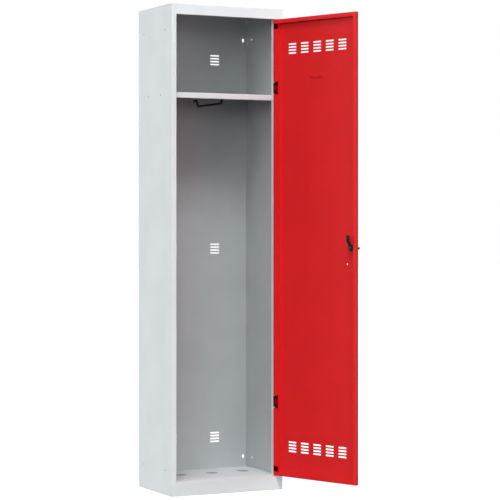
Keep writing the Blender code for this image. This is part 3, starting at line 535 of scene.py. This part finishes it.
@dataclass
class Cabinet:
    """The grey carcass: side walls, back, top, floor and shelf, with eased sheet edges."""

    ease_m: float = 0.00018
    sheets: tuple[tuple[str, Finish], ...] = (
        ("left_side_panel", Finish.GREY),
        ("right_side_panel", Finish.GREY),
        ("back_panel", Finish.GREY),
        ("top_panel", Finish.GREY),
        ("hinge_strip", Finish.GREY),
        ("hat_shelf", Finish.GREY_SHELF_SHADED),
        ("floor_panel", Finish.GREY_FLOOR),
    )
    lugged: str = "hat_shelf"
    lug_x: float = 0.2254
    weld_x: Span = (0.2070, 0.2094)
    weld_y: Span = (-0.00897, -0.0075)
    welds_z: tuple[Span, ...] = ((1.7637, 1.7980), (0.0017, 0.0505))
    floor_z: float = 0.0525
    blank_y: float = 0.173
    blanks_x: tuple[float, ...] = (-0.110, 0.0205, 0.151)
    blank_profile: tuple[tuple[float, float], ...] = (
        (0.0, -0.0014), (0.0215, -0.0014), (0.0230, -0.0003), (0.0236, -0.0003), (0.0236, -0.0010),
        (0.0222, -0.0022), (0.0, -0.0022),
    )

    def build(self, bench: Bench) -> None:
        """Makes the sheets, the welds at the front corners and the blanks in the floor's holes."""
        for node, finish in self.sheets:
            bm = bench.copy(node)
            if node == self.lugged:
                self.shade_lugs(bm)
            ease_edges(bm, self.ease_m)
            bench.add(f"{node}_sheet", bm, finish, Body.CABINET, node)
        for level, (low, high) in zip(("upper", "lower"), self.welds_z):
            for side, sign in (("left", -1), ("right", 1)):
                bm = self.weld(sign, low, high)
                bench.add(f"{level}_{side}_corner_weld", bm, Finish.GREY, Body.CABINET)
        for number, x in enumerate(self.blanks_x, start=1):
            bm = turned(list(self.blank_profile))
            bmesh.ops.translate(bm, verts=bm.verts, vec=(x, self.blank_y, self.floor_z))
            bench.add(f"floor_blank_{number}", bm, Finish.GREY_BLANK_SHADED, Body.CABINET)

    def shade_lugs(self, bm: bmesh.types.BMesh) -> None:
        """Paints shade on the shelf lugs that stand in the slots of the sides, so that the slots look
        dark.

        Args:
            bm: the shelf's mesh.
        """
        layer = bm.faces.layers.float.new(PAINTED_SHADE)
        for face in bm.faces:
            if abs(face.calc_center_median().x) > self.lug_x:
                face[layer] = 1.0

    def weld(self, sign: int, low: float, high: float) -> bmesh.types.BMesh:
        """A ground weld that fills the joint between an upright and a rail.

        Args:
            sign: -1 for the left upright and 1 for the right one.
            low: its lower end.
            high: its upper end.

        Returns:
            The weld's mesh.
        """
        near, far = self.weld_x
        front, rear = self.weld_y
        bm = bmesh.new()
        bmesh.ops.create_cube(bm, size=1.0)
        bmesh.ops.scale(bm, verts=bm.verts, vec=(far - near, rear - front, high - low))
        middle = (sign * (near + far) / 2, (front + rear) / 2, (low + high) / 2)
        bmesh.ops.translate(bm, verts=bm.verts, vec=middle)
        return bm


@dataclass
class HangingRail:
    """The bent bar under the shelf and the push-on cap over its front end."""

    radius: float = 0.0035
    sides: int = 24
    bend: float = 0.013
    bend_steps: int = 10
    end_ease: float = 0.0005
    front_y: float = 0.043
    rear_y: float = 0.261
    foot_end_y: float = 0.2922
    top_z: float = 1.4798
    low_z: float = 1.4448
    foot_z: float = 1.467
    shelf_z: float = 1.479
    cap_radius: float = 0.008
    cap_wall: float = 0.0008
    cap_ease: float = 0.0003
    cap_sharp_degrees: float = 30.0
    gap: float = 0.0003

    def build(self, bench: Bench) -> None:
        """Makes the bar and its cap."""
        bench.add("hanging_rail_bar", self.bar(), Finish.BLACK_STEEL, Body.CABINET, "hanging_rail")
        bench.add("rail_retainer_cap", self.cap(), Finish.BLACK_STEEL, Body.CABINET, "rail_retainer")

    def run(self, bm: bmesh.types.BMesh, end: bmesh.types.BMFace, move: Colour) -> bmesh.types.BMFace:
        """Draws the bar straight on from its end face, and returns the new end."""
        made = bmesh.ops.extrude_face_region(bm, geom=[end])
        verts = [item for item in made["geom"] if isinstance(item, bmesh.types.BMVert)]
        bmesh.ops.translate(bm, verts=verts, vec=move)
        return next(item for item in made["geom"] if isinstance(item, bmesh.types.BMFace))

    def turn(self, bm: bmesh.types.BMesh, end: bmesh.types.BMFace, centre: Colour,
             degrees: float) -> bmesh.types.BMFace:
        """Bends the bar on from its end face about the X direction, and returns the new end."""
        made = bmesh.ops.spin(
            bm, geom=[end], cent=centre, axis=(1, 0, 0), angle=math.radians(degrees),
            steps=self.bend_steps,
        )
        return next(item for item in made["geom_last"] if isinstance(item, bmesh.types.BMFace))

    def bar(self) -> bmesh.types.BMesh:
        """The bar, drawn from its front end down, back and up to its rear foot."""
        bm = bmesh.new()
        bmesh.ops.create_circle(bm, cap_ends=True, radius=self.radius, segments=self.sides)
        bmesh.ops.translate(bm, verts=bm.verts, vec=(0, self.front_y, self.top_z))
        bm.faces.ensure_lookup_table()
        bend_z = self.low_z + self.bend
        end = self.run(bm, bm.faces[0], (0, 0, bend_z - self.top_z))
        end = self.turn(bm, end, (0, self.front_y + self.bend, bend_z), 90)
        end = self.run(bm, end, (0, self.rear_y - self.front_y - 2 * self.bend, 0))
        end = self.turn(bm, end, (0, self.rear_y - self.bend, bend_z), 90)
        upper = self.foot_z - bend_z
        end = self.turn(bm, end, (0, self.rear_y + upper, bend_z), -90)
        self.run(bm, end, (0, self.foot_end_y - self.rear_y - upper, 0))
        bmesh.ops.recalc_face_normals(bm, faces=bm.faces)
        ease_edges(bm, self.end_ease, 3)
        return bm

    def cap(self) -> bmesh.types.BMesh:
        """The push-on cap, a turned thimble with a flange."""
        bore = self.radius + self.gap
        neck = bore + self.cap_wall
        crown = self.top_z - self.shelf_z + self.gap
        bm = turned([
            (0, crown), (bore, crown), (bore, self.gap), (self.cap_radius, self.gap),
            (self.cap_radius, self.gap + self.cap_wall / 2), (neck, self.gap + self.cap_wall),
            (neck, crown), (bore, crown + self.cap_wall), (0, crown + self.cap_wall),
        ])
        ease_edges(bm, self.cap_ease, 2, self.cap_sharp_degrees)
        bmesh.ops.translate(bm, verts=bm.verts, vec=(0, self.front_y, self.shelf_z))
        return bm


@dataclass
class Door:
    """The red door pan with its hinge leaves and pins; its places are those of the shut door."""

    ease_m: float = 0.00018
    leaf_ease_m: float = 0.00025
    pin_ease_m: float = 0.0003
    leaves: tuple[tuple[str, Finish, Body], ...] = (
        ("frame", Finish.HINGE_SHADED_RED, Body.CABINET),
        ("door", Finish.RED_SHADED, Body.DOOR),
    )
    axis: Colour = (0.2005, -0.0045, 0.0)
    open_degrees: float = 109.6
    skin_y: float = -0.0082
    # The inside of the boxed hinge edge gets painted shade, the free edge wall lighter painted shade,
    # and the free lip painted light
    channel_x: float = 0.1789
    inner_faces_y: Span = (-0.0084, 0.0026)
    edge_x: float = 0.2044
    free_edge_x: float = -0.2049
    free_edge_shade: float = 0.60
    lip_x: float = -0.1870
    lip_y: float = 0.0028
    mark_x: float = -0.001
    mark_z: float = 1.5362
    mark_length: float = 0.062
    mark_height: float = 0.010
    mark_rise: float = 0.0016
    mark_end: float = 0.022
    mark_slope: float = 0.35
    mark_shade: float = 0.32

    def turn(self) -> Matrix:
        """Moves a shape from the shut door to the door as it stands open."""
        axis = Matrix.Translation(self.axis)
        return axis @ Matrix.Rotation(math.radians(self.open_degrees), 4, "Z") @ axis.inverted()

    def build(self, bench: Bench) -> None:
        """Makes the pan, its pressed bridge and the hinges."""
        bm = bench.copy("door_pan")
        self.mark_coat(bm)
        ease_edges(bm, self.ease_m)
        bench.add("door_pan_sheet", bm, Finish.RED, Body.DOOR, "door_pan")
        bench.add("door_pressed_bridge", self.bridge(), Finish.RED, Body.DOOR)
        for level in ("upper", "lower"):
            for side, finish, body in self.leaves:
                node = f"{level}_hinge_{side}_leaf"
                bm = bench.copy(node)
                ease_edges(bm, self.leaf_ease_m)
                bench.add(f"{node}_plate", bm, finish, body, node)
            node = f"{level}_hinge_pin"
            bm = bench.copy(node)
            ease_edges(bm, self.pin_ease_m, 3)
            bench.add(f"{node}_turned", bm, Finish.BLACK_STEEL, Body.CABINET, node)

    def mark_coat(self, bm: bmesh.types.BMesh) -> None:
        """Marks the faces that get painted shade and painted light.

        Painted shade goes inside the boxed hinge edge and, less dark, on the free edge wall; painted
        light goes on the free lip.

        Args:
            bm: the door pan's mesh.
        """
        turn = self.turn()
        shut = turn.inverted()
        bmesh.ops.bisect_plane(
            bm, geom=[*bm.verts, *bm.edges, *bm.faces], dist=WELD_M,
            plane_co=turn @ Vector((self.lip_x, 0, 0)), plane_no=turn.to_3x3() @ Vector((1, 0, 0)),
        )
        shaded = bm.faces.layers.float.new(PAINTED_SHADE)
        lightened = bm.faces.layers.float.new(PAINTED_LIGHT)
        low, high = self.inner_faces_y
        for face in bm.faces:
            place = shut @ face.calc_center_median()
            # painted shade inside the boxed hinge edge and on the free edge wall, painted light on the
            # free lip
            if self.channel_x < place.x < self.edge_x and low < place.y < high:
                face[shaded] = 1.0
            elif place.x < self.free_edge_x:
                face[shaded] = self.free_edge_shade
            elif place.x < self.lip_x and place.y > self.lip_y:
                face[lightened] = 1.0

    def bridge(self) -> bmesh.types.BMesh:
        """A shallow bridge pressed out of the skin on its inner side, with its ends let down.

        Returns:
            The bridge's mesh; its sloping ends and its lower long side carry painted shade.
        """
        bm = bmesh.new()
        layer = bm.faces.layers.float.new(PAINTED_SHADE)
        bmesh.ops.create_grid(bm, x_segments=1, y_segments=1, size=0.5)
        bmesh.ops.scale(bm, verts=bm.verts, vec=(self.mark_length, self.mark_height, 1.0))
        inset = self.mark_height * self.mark_slope
        made = bmesh.ops.inset_region(bm, faces=list(bm.faces), thickness=inset, use_boundary=True)
        top = next(face for face in bm.faces if face not in made["faces"])
        bmesh.ops.translate(bm, verts=top.verts, vec=(0, 0, self.mark_rise))
        squeeze = (self.mark_length / 2 - self.mark_end) / (self.mark_length / 2 - inset)
        bmesh.ops.scale(bm, verts=top.verts, vec=(squeeze, 1.0, 1.0))
        # painted shade on the sloping ends and the lower long side
        for face in made["faces"]:
            face[layer] = self.mark_shade if face.calc_center_median().y > -inset / 2 else 0.0
        upright = Matrix.Rotation(math.radians(-90), 4, "X")
        place = Matrix.Translation((self.mark_x, self.skin_y, self.mark_z)) @ upright
        bmesh.ops.transform(bm, matrix=self.turn() @ place, verts=bm.verts)
        bmesh.ops.recalc_face_normals(bm, faces=bm.faces)
        return bm


@dataclass
class Lock:
    """The turn-knob lock: housing with a padlock eye, knob, nut, cam, washer and screw."""

    sharp_degrees: float = 40.0
    eases_m: tuple[tuple[str, Finish, Body, float], ...] = (
        ("lock_housing", Finish.BLACK_ENAMEL, Body.DOOR, 0.0006),
        ("lock_nut", Finish.ZINC, Body.DOOR, 0.0006),
        ("hasp_knob", Finish.BLACK_ENAMEL, Body.LATCH, 0.0008),
        ("lock_cam", Finish.BLACK_STEEL, Body.LATCH, 0.0004),
        ("cam_washer", Finish.ZINC, Body.LATCH, 0.0002),
        ("cam_screw", Finish.ZINC, Body.LATCH, 0.0002),
    )

    def build(self, bench: Bench) -> None:
        """Makes every piece of the lock, with its edges rounded."""
        for node, finish, body, ease in self.eases_m:
            bm = bench.copy(node)
            ease_edges(bm, ease, 3, self.sharp_degrees)
            bench.add(f"{node}_finished", bm, finish, body, node)


@dataclass(frozen=True)
class SoftBox:
    """A soft patch of the studio dome; its azimuth runs from the front, with the left negative."""

    azimuth_degrees: float
    low_degrees: float
    high_degrees: float
    strength: float
    half_width_degrees: float = 30.0
    blend: float = 0.012
    fade: float = 0.05

    def glow(self, azimuth: Wire, z: Wire) -> Wire:
        """The patch's light by direction.

        Args:
            azimuth: the direction's azimuth in radians.
            z: the direction's upward part.

        Returns:
            The strength that it adds.
        """
        off = (azimuth - math.radians(self.azimuth_degrees)).wrapped().size()
        edge = math.radians(self.half_width_degrees)
        low, high = (math.sin(math.radians(part)) for part in (self.low_degrees, self.high_degrees))
        band = z.span(low - self.blend, low + self.blend) * z.span(high + self.blend, high - self.blend)
        lobe = (off * (math.pi / 2 / edge)).cosine() + 1.0
        within = off.span(edge * (1.0 + self.fade), edge * (1.0 - self.fade))
        return within * lobe * band * (self.strength / 2)


@dataclass(frozen=True)
class KeyLamp:
    """A square lamp hung in front of the locker, which lights its upper part a little more."""

    azimuth_degrees: float = -4.0
    height_degrees: float = 56.0
    distance: float = 3.2
    aim: Colour = (0.0, 0.1, 0.9)
    side: float = 1.6
    watts: float = 10.0

    def hang(self) -> None:
        """Makes the lamp and turns it to the locker."""
        data = bpy.data.lights.new("key_lamp", "AREA")
        data.size = self.side
        data.energy = self.watts
        lamp = bpy.data.objects.new("key_lamp", data)
        turn, rise = math.radians(self.azimuth_degrees), math.radians(self.height_degrees)
        level = math.cos(rise)
        way = Vector((math.sin(turn) * level, -math.cos(turn) * level, math.sin(rise)))
        lamp.location = Vector(self.aim) + way * self.distance
        lamp.rotation_euler = way.to_track_quat("Z", "Y").to_euler()
        lamp.visible_camera = False
        lamp.visible_glossy = False
        bpy.context.scene.collection.objects.link(lamp)


@dataclass
class Studio:
    """Pale floor, soft light and the camera."""

    camera_place: Colour = (-3.00902, -6.26623, 1.00326)
    camera_yaw: float = 0.46006
    focal_px: float = 1877.31
    centre_px: tuple[float, float] = (250.0, 221.86)
    floor_side: float = 60.0
    floor_drop: float = 0.0005
    floor_roughness: float = 0.9
    floor_lit: Colour = (0.03, 0.03, 0.03)
    floor_seen: Colour = (0.5, 0.5, 0.5)
    floor_glow: Colour = (0.85, 0.85, 0.85)
    ambient: float = 0.04
    horizon: Span = (-0.02, 0.0)
    lamp: KeyLamp = KeyLamp()
    boxes: tuple[SoftBox, ...] = (
        SoftBox(-45.0, 58.0, 75.0, 8.4),
        SoftBox(-15.0, 42.0, 58.0, 8.9),
        SoftBox(-15.0, 28.0, 42.0, 0.8),
        SoftBox(-30.0, 14.0, 28.0, 0.95),
        SoftBox(-75.0, 14.0, 28.0, 2.0),
        SoftBox(-45.0, 0.0, 14.0, 2.8),
        SoftBox(45.0, 0.0, 14.0, 5.2),
        SoftBox(-135.0, 0.0, 14.0, 6.4),
        SoftBox(125.0, 0.0, 14.0, 3.4, 75.0),
    )

    def build(self) -> None:
        """Makes the floor, the light and the camera."""
        self.floor()
        self.dome()
        self.lamp.hang()
        self.camera()
        bpy.context.scene.view_settings.view_transform = "Standard"

    def floor(self) -> None:
        """A pale floor that the camera sees as white except for the shadow."""
        bpy.ops.mesh.primitive_plane_add(size=self.floor_side, location=(0, 0, -self.floor_drop))
        floor = bpy.context.object
        floor.name = "studio_floor"
        material, graph = Graph.of_material("studio_floor")
        seen = self.seen(graph)
        graph.set(Base_Color=graph.mix(seen, self.floor_lit, self.floor_seen))
        graph.set(Emission_Color=graph.mix(seen, (0.0, 0.0, 0.0), self.floor_glow))
        graph.set(Roughness=self.floor_roughness, Specular_IOR_Level=0.0, Emission_Strength=1.0)
        floor.data.materials.append(material)

    def seen(self, graph: Graph) -> Wire:
        """1 for the camera's own rays and for what metal and glass show."""
        first = graph.node("ShaderNodeLightPath", {}, {}, "Is Camera Ray")
        rays = first.socket.node.outputs
        glossy, through = (Wire(graph, rays[name]) for name in ("Is Glossy Ray", "Is Transmission Ray"))
        return first.at_least(glossy).at_least(through)

    def dome(self) -> None:
        """White to the camera and in reflections; as a light, a dim dome with soft bands."""
        world = bpy.data.worlds.new("studio")
        bpy.context.scene.world = world
        world.use_nodes = True
        graph = Graph(world.node_tree, "ShaderNodeBackground", "ShaderNodeOutputWorld")
        x, y, z = graph.axes(graph.node("ShaderNodeTexCoord", {}, {}, "Generated"))
        azimuth = x.angle(y * -1.0)
        light = z.span(*self.horizon) * self.ambient
        for box in self.boxes:
            light = light + box.glow(azimuth, z)
        seen = self.seen(graph)
        graph.set(Color=(1.0, 1.0, 1.0), Strength=light * (1.0 - seen) + seen)

    def camera(self) -> None:
        """Sets the camera level, at the photograph's place and framing."""
        data = bpy.data.cameras.new("camera")
        data.sensor_fit = "HORIZONTAL"
        data.sensor_width = SENSOR_MM
        data.lens = self.focal_px / IMAGE_SIDE_PX * SENSOR_MM
        data.shift_x = (IMAGE_SIDE_PX / 2 - self.centre_px[0]) / IMAGE_SIDE_PX
        data.shift_y = (self.centre_px[1] - IMAGE_SIDE_PX / 2) / IMAGE_SIDE_PX
        data.clip_end = CLIP_END_M
        camera = bpy.data.objects.new("camera", data)
        camera.location = self.camera_place
        camera.rotation_euler = Euler((math.pi / 2, 0, -self.camera_yaw))
        bpy.context.scene.collection.objects.link(camera)
        bpy.context.scene.camera = camera


def main() -> None:
    """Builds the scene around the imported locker."""
    logging.basicConfig(level=logging.INFO, format="%(name)s: %(message)s")
    for obj in list(bpy.data.objects):
        bpy.data.objects.remove(obj, do_unlink=True)
    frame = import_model()
    bench = Bench(frame["nodes"])
    for assembly in (Cabinet(), HangingRail(), Door(), Lock()):
        assembly.build(bench)
    Studio().build()


if __name__ == "__main__":
    main()
